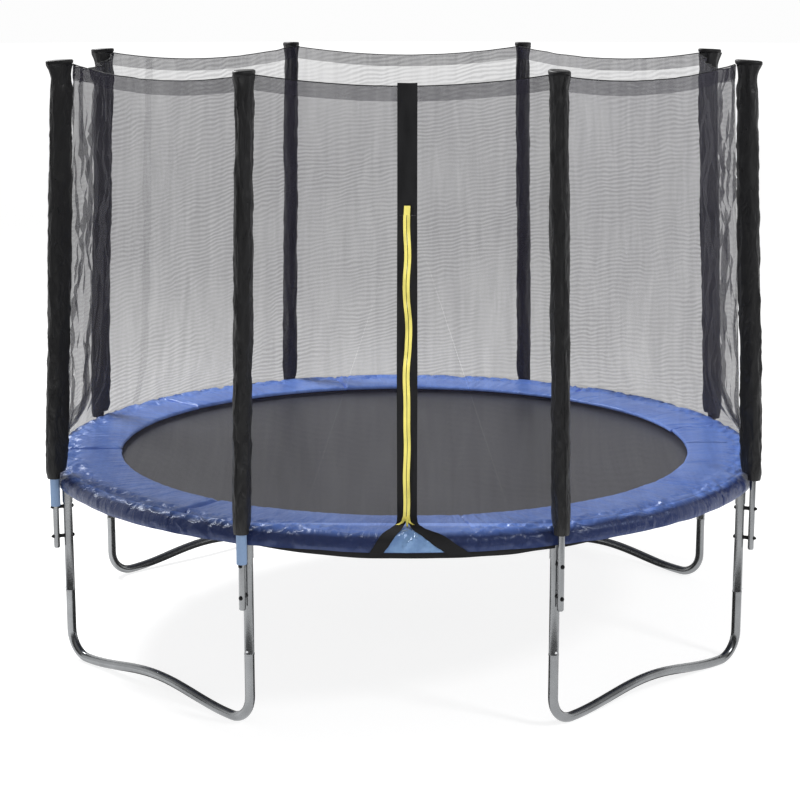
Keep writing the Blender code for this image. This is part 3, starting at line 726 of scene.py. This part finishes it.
def make_pad():
    """The padded ring in its blue cover: seams between sections, puckers and skirt folds."""
    outline = pad_outline()
    lengths = [0.0]
    for (r0, z0), (r1, z1) in zip(outline, outline[1:], strict=False):
        lengths.append(lengths[-1] + math.hypot(r1 - r0, z1 - z0))
    top_start, slope_end = 3, 26 + SLOPE_STEPS
    rows, uvs = [], []
    for angle in pad_angles():
        along, radial = math.radians(angle) * PAD_MIDDLE, polar(1.0, angle)
        seam = seam_distance(angle)
        groove = math.exp(-(seam / 0.0075) ** 2)
        overlap = 0.0045 * math.exp(-(seam / 0.045) ** 2) if seam < 0 else 0.0
        near_seam = math.exp(-(seam / 0.055) ** 2)
        edge_sway = 0.0035 * ripple(along * 3.2, 5.0, 50.0) + 0.0022 * ripple(along * 9, 7.0, 51.0)
        edge_sway += near_seam * (0.006 if seam < 0 else -0.0024)
        under_bands = math.exp(-(math.radians((angle - 272 + 180) % 360 - 180) / 0.19) ** 4)
        row = []
        for place, (reach, z) in enumerate(outline):
            inner = 1 - smooth_step(reach, PAD_INNER, PAD_INNER + 0.05)
            point = radial * (reach + edge_sway * inner) + Vector((0, 0, z))
            if top_start <= place <= slope_end:
                across = lengths[place]
                outer = smooth_step(across, 0.185, 0.245) * (1 - 0.6 * smooth_step(across, 0.29, 0.33))
                lift = pad_lift(along, across, outer, near_seam)
                lift -= 0.0150 * groove + 0.0045 * near_seam * (1 - groove) - overlap
                lift *= 1 - 0.9 * under_bands * smooth_step(reach, 1.36, 1.40)
                room = mix(0.0055, 0.0085, smooth_step(across, 0.20, 0.25))
                room = mix(room, 0.0025, smooth_step(across, 0.285, 0.325))
                depth = mix(0.020, 0.0022, smooth_step(across, 0.235, 0.255))
                away = section_normal(outline, place)
                lift = max(-depth, min(room, lift)) * min(1.0, (place - top_start + 1) / 4)
                point += radial * away.x * lift + Vector((0, 0, away.y * lift))
            if slope_end < place <= slope_end + 2:
                hang = 0.5 * ripple(along * 2.6, 2.0, 30.0) + 0.3 * ripple(along * 11, 4.0, 31.0)
                point.z += 0.010 * hang * (1 - under_bands)
            row.append(point)
        rows.append(row)
        uvs.append([(along, length) for length in lengths])
    shape = Shape().grid(rows, wrap_rows=True, wrap_columns=True, uvs=uvs)
    pad = shape.part("pad_cover", PAD_VINYL, "frame", "pad_vinyl", "safety_pad")


# ---- sleeves and caps ----


def oval(angle, z, outwards, inwards, sideways, sides, wobble=None, tilt=0.0):
    """A ring round a pole's axis, reaching further towards the net than away from it."""
    out, side = polar(1.0, angle), polar(1.0, angle + 90)
    centre = polar(pole_circle(z), angle, z)
    ring = []
    for index in range(sides):
        turn = math.tau * index / sides
        across = math.cos(turn)
        reach = outwards if across > 0 else inwards
        grow = 1 + (wobble(turn) if wobble else 0.0)
        ring.append(centre + out * reach * across * grow + side * sideways * math.sin(turn) * grow
                    - Vector((0, 0, tilt * reach * across)))
    return ring


def sleeve_levels():
    """Heights with the cover's reach out, in and sideways."""
    low = SLEEVE_BOTTOM_Z - SLEEVE_HANG
    levels = [(low, 0.0300, 0.0212, 0.0290), (low + 0.012, 0.0320, 0.0214, 0.0300),
              (SLEEVE_BOTTOM_Z + 0.002, 0.0345, 0.0240, 0.0305),
              (SLEEVE_BOTTOM_Z + 0.0085, 0.0350, 0.0460, 0.0308), (0.822, 0.036, 0.050, 0.031)]
    body = 110
    for step in range(1, body + 1):
        levels.append((mix(0.822, 2.365, step / body), 0.0365, 0.052, 0.0315))
    levels += [(2.378, 0.0350, 0.0490, 0.0305), (2.392, 0.0340, 0.0465, 0.0298),
               (2.407, 0.0345, 0.0455, 0.0298), (2.422, 0.0380, 0.0465, 0.0308),
               (2.438, 0.0430, 0.0475, 0.0324), (2.452, 0.0485, 0.0490, 0.0342),
               (2.462, 0.0515, 0.0505, 0.0352)]
    return levels


def make_sleeves():
    sides = 40
    for number, (name, angle) in enumerate(STATIONS):
        rows, uvs = [], []
        for z, outwards, inwards, sideways in sleeve_levels():
            sway = 0.035 * ripple(z * 2.3, number * 7.0, 3.0)
            pinch = smooth_step(z, 2.30, 2.39)

            def wobble(turn, z=z, sway=sway, pinch=pinch, number=number):
                fold = ripple(math.cos(turn) * 1.6 + number * 5, math.sin(turn) * 1.6 + z * 3.4, 2.0)
                sharp = crease(turn * 1.1 + number * 3 + z * 2.2, z * 6.5, 6.0 + number) - 0.35
                fine = crease(turn * 1.9 + number - z * 5, z * 15, 16.0 + number) - 0.35
                pleat = 0.05 * pinch * math.sin(turn * 9 + number)
                loose = smooth_step(z, SLEEVE_BOTTOM_Z, SLEEVE_BOTTOM_Z + 0.05)
                return loose * (sway + 0.15 * fold + 0.10 * sharp + 0.06 * fine + pleat)

            rows.append(oval(angle, z, outwards, inwards, sideways, sides, wobble))
            uvs.append([(index / sides * 0.24, z) for index in range(sides)])
        low = SLEEVE_BOTTOM_Z - SLEEVE_HANG
        rows.insert(0, oval(angle, low + 0.004, 0.0206, 0.0206, 0.0206, sides))
        uvs.insert(0, [(index / sides * 0.24, 0.79) for index in range(sides)])
        cover = Shape().grid(rows, wrap_columns=True, uvs=uvs).part(
            f"sleeve_{name}", SLEEVE, "frame", "sleeve_cover", f"pole_sleeve_{name}")
        drop = FOAM_SHOWS.get(name, 0.0)
        foot, top = low + 0.002 - drop, SLEEVE_BOTTOM_Z + 0.01
        rings = [oval(angle, z, radius, radius, radius, 28) for z, radius in (
            (foot, 0.0145), (foot, 0.0190), (foot + 0.002, 0.0200), (top, 0.0200), (top, 0.0145))]
        tube = Shape().grid(rings, wrap_rows=True, wrap_columns=True).part(
            f"foam_{name}", FOAM if drop else BLACK_PLASTIC, "frame", "sleeve_cover")


def make_caps():
    """Oval caps with a rounded rim, a little tilted outwards."""
    for number, (name, angle) in enumerate(STATIONS):
        rim = TOTAL_HEIGHT
        tilt = 0.05 + 0.04 * ripple(number * 3.7, 1.0, 2.0)
        levels = [(2.425, 0.010, 0.010, 0.010), (POLE_TOP_Z + 0.001, 0.0105, 0.0105, 0.0105),
                  (POLE_TOP_Z + 0.0015, 0.044, 0.043, 0.031), (rim - 0.018, 0.0525, 0.0505, 0.0352),
                  (rim - 0.014, 0.0560, 0.0540, 0.0370), (rim - 0.006, 0.0565, 0.0545, 0.0372),
                  (rim - 0.0025, 0.0550, 0.0530, 0.0360), (rim - 0.0005, 0.0500, 0.0480, 0.0320),
                  (rim, 0.030, 0.030, 0.018)]
        rings = [oval(angle, z, *reach, 40, None, tilt * smooth_step(z, 2.452, 2.462))
                 for z, *reach in levels]
        Shape().closed(rings).part(f"cap_{name}", BLACK_PLASTIC, "frame", "black_plastic",
                                   f"pole_cap_{name}")


# ---- net ----


def net_corner(z):
    return pole_circle(z) - NET_SETBACK


def hem_top(share):
    """The net's upper edge between two poles sags in a shallow curve."""
    return HEM_AT_POLE - HEM_SAG * 4 * share * (1 - share)


def bay_point(bay, share, z, out=0.0):
    """A point of the net wall between station bay and the next one."""
    first, second = STATIONS[bay][1], STATIONS[(bay + 1) % 8][1]
    corner = mix(polar(net_corner(z), first, z), polar(net_corner(z), second, z), share)
    middle = first + HALF_BAY
    loose = min(1.0, 9 * share, 9 * (1 - share)) * smooth_step(z, NET_BOTTOM_Z, NET_BOTTOM_Z + 0.12)
    if bay in SIDE_BAYS:
        loose *= 1.9
    if bay != FRONT_BAY:
        flare = (1 - smooth_step(z, NET_BOTTOM_Z - 0.25, NET_BOTTOM_Z + 0.28)) * 2
        round_it = polar(net_corner(z), mix(first, first + 45, share), z)
        corner = mix(corner, round_it, min(1.0, flare))
    run = share * 1.1
    fold = 0.012 * ripple(run * 5 + bay * 9, z * 2.0, 5.0)
    fold += 0.013 * (crease(run * 8 + z * 2.6 + bay * 4, z * 2.4, 8.0) - 0.4)
    fold += 0.009 * (crease(run * 17 - z * 3.1 + bay * 5, z * 4.0, 14.0) - 0.4)
    return corner + polar(1.0, middle) * (out + fold * loose)


def net_uv(bay, share, z):
    return bay * BAY_PITCH + share * BAY_CLOTH, z


def net_shape(bay, places, out=0.0):
    """Cloth on a bay of the net, from rows of (share, z) places."""
    return Shape().grid([[bay_point(bay, share, z, out) for share, z in row] for row in places],
                        uvs=[[net_uv(bay, share, z) for share, z in row] for row in places])


def bay_shape(bay, columns, rows, low, high, start=0.0, end=1.0, out=0.0):
    """Part of a bay between two heights; low, high, start and end may be functions."""
    def place(row, column):
        guess = mix(low(0.5), high(0.5), row)
        left = start(guess) if callable(start) else start
        right = end(guess) if callable(end) else end
        share = mix(left, right, column)
        return share, mix(low(share), high(share), row)

    return net_shape(bay, lattice(rows, columns, place), out)


def net_foot(_share):
    return NET_BOTTOM_Z


def door_half(z):
    """Half the doorway's width at a height, down to the skirt as well."""
    return mix(HINGE_FOOT, HINGE_TIP, (z - HINGE_FOOT_Z) / (HINGE_TIP_Z - HINGE_FOOT_Z))


def front_share(x, z):
    """Where an x lies along the front bay, from its left pole to its right one."""
    half = net_corner(z) * math.sin(math.radians(HALF_BAY))
    return (x + half) / (2 * half)


def make_net():
    """Seven whole bays, and the front one on both sides of the doorway."""
    for bay, (name, _angle) in enumerate(STATIONS):
        if bay == FRONT_BAY:
            continue
        cloth = SIDE_NET_PAINTED_SHEEN if bay in SIDE_BAYS else REAR_NET if bay in REAR_BAYS else NET
        nodes = ["enclosure_net"] if bay == 0 else []
        net = bay_shape(bay, 44, 60, net_foot, hem_top).part(
            f"net_bay_{name}", cloth, "frame", "net_mesh", *nodes)
    for side, label in SIDES:
        def inner(z, side=side):
            half = door_half(z) if z < HINGE_TIP_Z else HINGE_TIP
            return front_share(ENTRANCE_X + side * half, z)

        start, end = (0.0, inner) if side < 0 else (inner, 1.0)
        net = bay_shape(FRONT_BAY, 30, 60, net_foot, hem_top, start, end).part(
            f"net_front_{label}", NET, "frame", "net_mesh")


def make_net_seam():
    """The overlap where the net's two ends are sewn together."""
    seam = bay_shape(SEAM_BAY, 3, 60, net_foot, hem_top, SEAM_SHARE, SEAM_SHARE + 0.035, 0.002)
    seam = seam.part("net_seam", LAID_NET, "frame", "net_mesh")


def make_hems():
    """The doubled upper edge of each bay, and the thin binding along its top."""
    for bay, (name, _angle) in enumerate(STATIONS):
        hem = bay_shape(bay, 44, 3, lambda share: hem_top(share) - HEM_DEPTH,
                        lambda share: hem_top(share) + 0.001, out=0.0025)
        hem = hem.part(f"net_hem_{name}", HEM, "frame", "net_mesh")
        edge = [bay_point(bay, column / 44, hem_top(column / 44), 0.001) for column in range(45)]
        Shape().tube(edge, 0.0021, 6).part(f"hem_piping_{name}", BLACK_WEBBING, "frame", "webbing")


# ---- entrance ----


def foot_to_skirt():
    """The way from the net's foot over the pad at the front, as (run, y, z)."""
    points = [(1.3885, NET_BOTTOM_Z), (1.3950, PAD_TOP_Z + 0.002), (1.430, PAD_TOP_Z + 0.001)]
    points += [pad_slope(step / 12) for step in range(13)]
    points += [(PAD_OUTER + 0.002, 0.735), (PAD_OUTER + 0.003, 0.690)]
    way, run = [], 0.0
    for place, (reach, z) in enumerate(points):
        if place:
            run += math.dist(points[place - 1], (reach, z))
        way.append((run, -reach, z))
    return way


FOOT_TO_SKIRT = foot_to_skirt()
SKIRT_RUN = 0.175  # how far the net goes on past its foot at the front


def entrance_point(x, run, out=0.0):
    """A point of the front: up the net where run is negative, over the pad and down after."""
    if run <= 0:
        z = NET_BOTTOM_Z - run
        return Vector((x, bay_point(FRONT_BAY, front_share(x, z), z).y - out, z))
    for (s0, y0, z0), (s1, y1, z1) in zip(FOOT_TO_SKIRT, FOOT_TO_SKIRT[1:], strict=False):
        if run <= s1 or s1 == FOOT_TO_SKIRT[-1][0]:
            share = (run - s0) / (s1 - s0)
            y, z = mix(y0, y1, share), mix(z0, z1, share)
            break
    tangent = Vector((0, y1 - y0, z1 - z0)).normalized()
    away = Vector((0, tangent.z, -tangent.y))
    # The ring is round, so the surface falls back a little to each side.
    bow = (abs(y) - math.sqrt(max(0.0, y * y - x * x))) * smooth_step(abs(y), 1.40, 1.52)
    return Vector((x, y + bow, z)) + away * out


def edges_at(edges, run):
    """The two edges of a ribbon where its run reaches a value."""
    for (s0, *low), (s1, *high) in zip(edges, edges[1:], strict=False):
        if run <= s1 + 1e-9:
            share = (run - s0) / (s1 - s0)
            return [mix(a, b, share) for a, b in zip(low, high, strict=True)]
    return edges[-1][1:]


def band_shape(edges, step, columns, out, wave=0.0):
    """A ribbon on the front between two edges, given as (run, left x, right x)."""
    first, last = edges[0][0], edges[-1][0]
    count = max(2, round((last - first) / step))
    shares = [column / columns for column in range(columns + 1)]
    rows, uvs, length = [], [], 0.0
    for index in range(count + 1):
        run = mix(first, last, index / count)
        left, right = edges_at(edges, run)
        sway = wave * ripple(run * 6, 0.3, 2.0)
        rows.append([entrance_point(mix(left, right, share) + sway, run, out) for share in shares])
        if index:
            length += (rows[-1][0] - rows[-2][0]).length
        uvs.append([(share * abs(right - left), length) for share in shares])
    return Shape().grid(rows, uvs=uvs)


def door_part(shape, name, finish, slot, label, *nodes):
    """A piece over the door's fold line, made with no body and its transform baked; the fold joint is
    looked up but not used.
    """
    side = -1 if label == "left" else 1
    joint = next(j for j in frame["joints"] if j["name"] == f"door_flap_{label}_fold")
    axis, foot = Vector(joint["axis"]), Vector(joint["pos_m"])
    inwards = Vector((0, 1, 0.0436)).cross(axis).normalized()
    if inwards.x * side > 0:
        inwards.negate()
    piece = shape.part(name, finish, None, slot, *nodes)
    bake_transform(piece)
    return piece


def door_bands():
    """The black bands: straight beside the zip, then spreading over the pad's edge."""
    left_edge, right_edge = STRIP_EDGES
    seam = NET_BOTTOM_Z - HINGE_TIP_Z
    return {
        "left": [(seam, left_edge, 0.0195), (-0.6, left_edge - 0.002, 0.0195),
                 (-0.03, left_edge, 0.0195), (0.00, left_edge - 0.002, 0.0165),
                 (0.03, -0.026, 0.010), (0.065, -0.042, 0.003), (0.10, -0.060, -0.005),
                 (0.135, -0.080, -0.024), (0.17, -0.103, -0.050), (0.200, -0.122, -0.072)],
        "right": [(seam, 0.0205, right_edge), (-0.6, 0.0205, right_edge + 0.002),
                  (-0.03, 0.0205, right_edge + 0.001), (0.00, 0.0235, right_edge + 0.004),
                  (0.03, 0.030, 0.070), (0.065, 0.038, 0.088), (0.10, 0.050, 0.117),
                  (0.135, 0.082, 0.165), (0.17, 0.132, 0.218), (0.200, 0.176, 0.262)],
    }


def make_entrance():
    """The black strips, the tapes of the zip and the two flaps of net beside it."""
    top = NET_BOTTOM_Z - (HEM_AT_POLE - HEM_SAG)
    seam = NET_BOTTOM_Z - HINGE_TIP_Z
    upper = [(run, *STRIP_EDGES) for run in (top - 0.012, seam)]
    strip = band_shape(upper, 0.02, 6, 0.0045).part("door_strip_top", BLACK_WEBBING,
                                                    "frame", "webbing")
    bands = door_bands()
    for side, label in SIDES:
        strip = door_part(band_shape(bands[label], 0.010, 6, 0.0062), f"door_strip_{label}",
                          BLACK_WEBBING, "webbing", label)
        near, far = sorted((ENTRANCE_X + side * 0.0012, ENTRANCE_X + side * TAPE_WIDTH))
        tape_edges = [(seam, near, far), (-0.6, near, far), (-0.030, near, far),
                      (0.000, near + side * 0.007, far + side * 0.006),
                      (0.030, near + side * 0.026, far + side * 0.022)]
        tape = door_part(band_shape(tape_edges, 0.010, 2, *TAPE_LIFT), f"zip_tape_{label}",
                         YELLOW_TAPE, "webbing", label)

        def place(up, across, side=side):
            z = mix(NET_BOTTOM_Z, HINGE_TIP_Z, up)
            return front_share(ENTRANCE_X + side * mix(door_half(z), 0.003, across), z), z

        flap = door_part(net_shape(FRONT_BAY, lattice(60, 20, place)), f"door_net_{label}",
                         NET, "net_mesh", label, f"door_flap_{label}")


def make_zip_end():
    """The tape's top end above the doorway, and the slider with its pull."""
    runs = (NET_BOTTOM_Z - ZIP_TOP_Z, NET_BOTTOM_Z - HINGE_TIP_Z)
    tape = band_shape([(run, 0.0085, 0.0315) for run in runs], 0.012, 2, *TAPE_LIFT)
    tape = tape.part("zip_tape_top", YELLOW_TAPE, "frame", "webbing")
    low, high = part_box("zip_slider")
    centre = Vector(((low[0] + high[0]) / 2, low[1] - 0.0068, (low[2] + high[2]) / 2))
    slider = [(-0.0005, 0.009), (0.001, 0.0105), (0.004, 0.010), (0.0055, 0.007)]
    shape = Shape().turned(centre + Vector((0, 0.001, 0)), Vector((0, -1, 0)), slider, 6)
    pull = [centre + Vector(place) for place in (
        (0, -0.006, 0.004), (0.0005, -0.009, 0.0), (0.001, -0.0085, -0.014), (0.002, -0.008, -0.030))]
    radii = [0.0022] * 4 + [0.0030, 0.0036, 0.0040, 0.0042, 0.0042, 0.0040, 0.0030]
    shape.tube(spline(pull, 10), radii, 10)
    shape.part("zip_pull", ZIP_METAL, "zip", "slider_metal", "zip_slider")


def ring_skirt_point(bay, share, step):
    """The net below its foot: out over the pad and down to the band, at one of its steps."""
    foot = bay_point(bay, share, NET_BOTTOM_Z)
    angle = math.degrees(math.atan2(foot.y, foot.x))
    reach = math.hypot(foot.x, foot.y)
    path = [(reach, NET_BOTTOM_Z), (1.5130, 0.7985), (1.5215, 0.7890), (1.5285, 0.7785),
            (1.5335, 0.7675), (1.5355, 0.7560), (1.5355, 0.7420)]
    return polar(path[step][0], angle, path[step][1])


def make_net_skirts():
    """The net carries on from its foot over the pad's outer edge, down to the lower band."""
    for bay, (name, _angle) in enumerate(STATIONS):
        if bay == FRONT_BAY:
            continue
        shares = [column / 40 for column in range(41)]
        rows = [[ring_skirt_point(bay, share, step) for share in shares] for step in range(7)]
        uvs = [[net_uv(bay, share, 0.8 - 0.015 * step) for share in shares] for step in range(7)]
        near = bay in (FRONT_BAY - 1, FRONT_BAY + 1)
        skirt = Shape().grid(rows, uvs=uvs).part(f"net_skirt_{name}", LAID_NET if near else NET,
                                                 "frame", "net_mesh")
    bands = door_bands()
    for side, label in SIDES:
        def fold_x(run, side=side):
            return ENTRANCE_X + side * door_half(entrance_point(0.0, run).z)

        def pole_x(run, side=side):
            return side * mix(0.574, 0.588, run / SKIRT_RUN)

        def band_x(run, label=label):
            return sum(edges_at(bands[label], run)) / 2

        for part, outer, inner, width in (("outer", pole_x, fold_x, 0.095),
                                          ("inner", fold_x, band_x, 0.36)):
            def place(down, across, outer=outer, inner=inner):
                run = SKIRT_RUN * down
                return entrance_point(mix(outer(run), inner(run), across), run, 0.0032)

            rows = lattice(19, 16, place)
            shape = Shape().grid(rows, uvs=[[(p.x + 6.3, 0.8 - SKIRT_RUN * step / 19) for p in row]
                                            for step, row in enumerate(rows)])
            name = f"net_skirt_{part}_{label}"
            if part == "inner":
                skirt = door_part(shape, name, LAID_NET, "net_mesh", label)
            else:
                skirt = shape.part(name, LAID_NET, "frame", "net_mesh")


def make_apron():
    """The bare, shiny cover between the two bands under the zip, in a paler blue as painted highlight.
    """
    bands = door_bands()

    def point(row, share):
        run = mix(*APRON_RUN, row)
        left, right = edges_at(bands["left"], run)[1], edges_at(bands["right"], run)[0]
        x = mix(left - APRON_TUCK, right + APRON_TUCK, share)
        middle = math.sin(math.pi * share) ** 1.5 * math.sin(math.pi * row * 18 / 19)
        fold = 0.016 * (crease(x * 12 + run * 24, run * 9 - x * 7, 3.0) - 0.35) * middle
        fold += 0.008 * (crease(x * 30 - run * 16, run * 22, 8.0) - 0.35) * middle
        return entrance_point(x, run, 0.0036 + max(0.0, 0.003 * middle + fold))

    rows = lattice(18, 24, point)
    uvs = [[(p.x, mix(*APRON_RUN, step / 18)) for p in row] for step, row in enumerate(rows)]
    apron = Shape().grid(rows, uvs=uvs).part("entrance_apron", APRON_PAINTED_LIGHT_VINYL, "frame", "pad_vinyl")


def make_lower_band():
    """The black band that holds the net's lower edge round the bottom of the skirt."""
    columns = 480
    rows, uvs = [], []
    for column in range(columns):
        angle = 360 * column / columns
        along = math.radians(angle) * PAD_OUTER
        front = math.exp(-((angle - 274) / 24) ** 4)
        low = SKIRT_Z + 0.004 - 0.030 * front + 0.005 * ripple(along * 6, 0.0, 7.0) * front
        high = SKIRT_Z + 0.012
        reach = PAD_OUTER - 0.0062 + 0.0010 * ripple(along * 15, 1.0, 9.0)
        outline = [(reach - 0.0015, high), (reach, (high + low) / 2 + 0.004), (reach - 0.001, low),
                   (reach - 0.004, low - 0.0015), (reach - 0.009, low + 0.004)]
        rows.append([polar(radius, angle, z) for radius, z in outline])
        uvs.append([(radius, along) for radius, _z in outline])
    shape = Shape().grid(rows, wrap_rows=True, uvs=uvs)
    band = shape.part("net_lower_band", BLACK_WEBBING, "frame", "webbing")


# ---- camera, light and floor ----


def glowing(name, shade, roughness, strength):
    """Dull grey with a light of its own."""
    return Finish(name, (shade, shade, shade), roughness, Specular_IOR_Level=0.0,
                  Emission_Color=(1.0, 1.0, 1.0, 1.0), Emission_Strength=strength).material


def arc(radius, z, start=0, end=360):
    return [polar(radius, mix(start, end, step / 48), z) for step in range(49)]


def make_stage():
    """The floor, dark cards that only the shiny pieces mirror, and a grey ceiling above."""
    bpy.ops.mesh.primitive_circle_add(vertices=96, radius=70, fill_type="NGON")
    floor = bpy.context.object
    floor.name = "floor"
    floor.data.materials.append(glowing("pale_floor", 0.40, 0.9, 0.80))
    cards = Shape().grid([arc(2.15, z, 50, 130) for z in (0.0, 0.85)])
    # One card lies under the trampoline, and one lies and stands beyond the camera.
    cards.grid([arc(radius, 0.003) for radius in (0.02, 1.42)])
    cards.grid([arc(*place, 185, 355) for place in ((4.3, 0.003), (13.0, 0.003), (13.0, 8.0))])
    card = cards.link("reflector_card", glowing("dark_card", 0.02, 1.0, 0.06))
    card.visible_diffuse = False
    lifts = [math.radians(lift) for lift in (32, 40, 50, 60, 70, 80, 89)]
    ceiling = Shape().grid([arc(SKY_RADIUS * math.cos(lift), SKY_RADIUS * math.sin(lift))
                            for lift in lifts])
    ceiling = ceiling.link("grey_ceiling", glowing("grey_ceiling", 0.0, 1.0, 0.28))
    for screen in (card, ceiling):
        for kind in ("camera", "shadow", "transmission", "volume_scatter"):
            setattr(screen, f"visible_{kind}", False)


def make_camera():
    data = bpy.data.cameras.new("camera")
    data.lens, data.sensor_width, data.clip_end = CAMERA_LENS, CAMERA_SENSOR, 500
    camera = bpy.data.objects.new("camera", data)
    camera.location = CAMERA_PLACE
    camera.rotation_euler = (math.pi / 2 - CAMERA_DOWN, 0.0, CAMERA_TURN)
    bpy.context.scene.collection.objects.link(camera)
    bpy.context.scene.camera = camera


def make_lights():
    world = bpy.data.worlds.new("studio")
    world.use_nodes = True
    bpy.context.scene.world = world
    background = world.node_tree.nodes["Background"]
    background.inputs["Color"].default_value = (1.0, 1.0, 1.0, 1.0)
    background.inputs["Strength"].default_value = 0.98
    for place, size, power in LAMPS:
        data = bpy.data.lights.new("softbox", "AREA")
        data.shape, data.size, data.energy = "DISK", size, power
        lamp = bpy.data.objects.new("softbox", data)
        lamp.location = place
        lamp.rotation_euler = (LAMP_AIM - Vector(place)).to_track_quat("-Z", "Y").to_euler()
        bpy.context.scene.collection.objects.link(lamp)
    bpy.context.scene.view_settings.view_transform = "Standard"


make_camera()
make_lights()
make_stage()
make_legs()
make_posts()
make_rails()
make_poles()
make_bolts()
make_mat()
make_edge_band()
make_springs()
make_pad()
make_sleeves()
make_caps()
make_net()
make_net_seam()
make_hems()
make_entrance()
make_zip_end()
make_net_skirts()
make_apron()
make_lower_band()
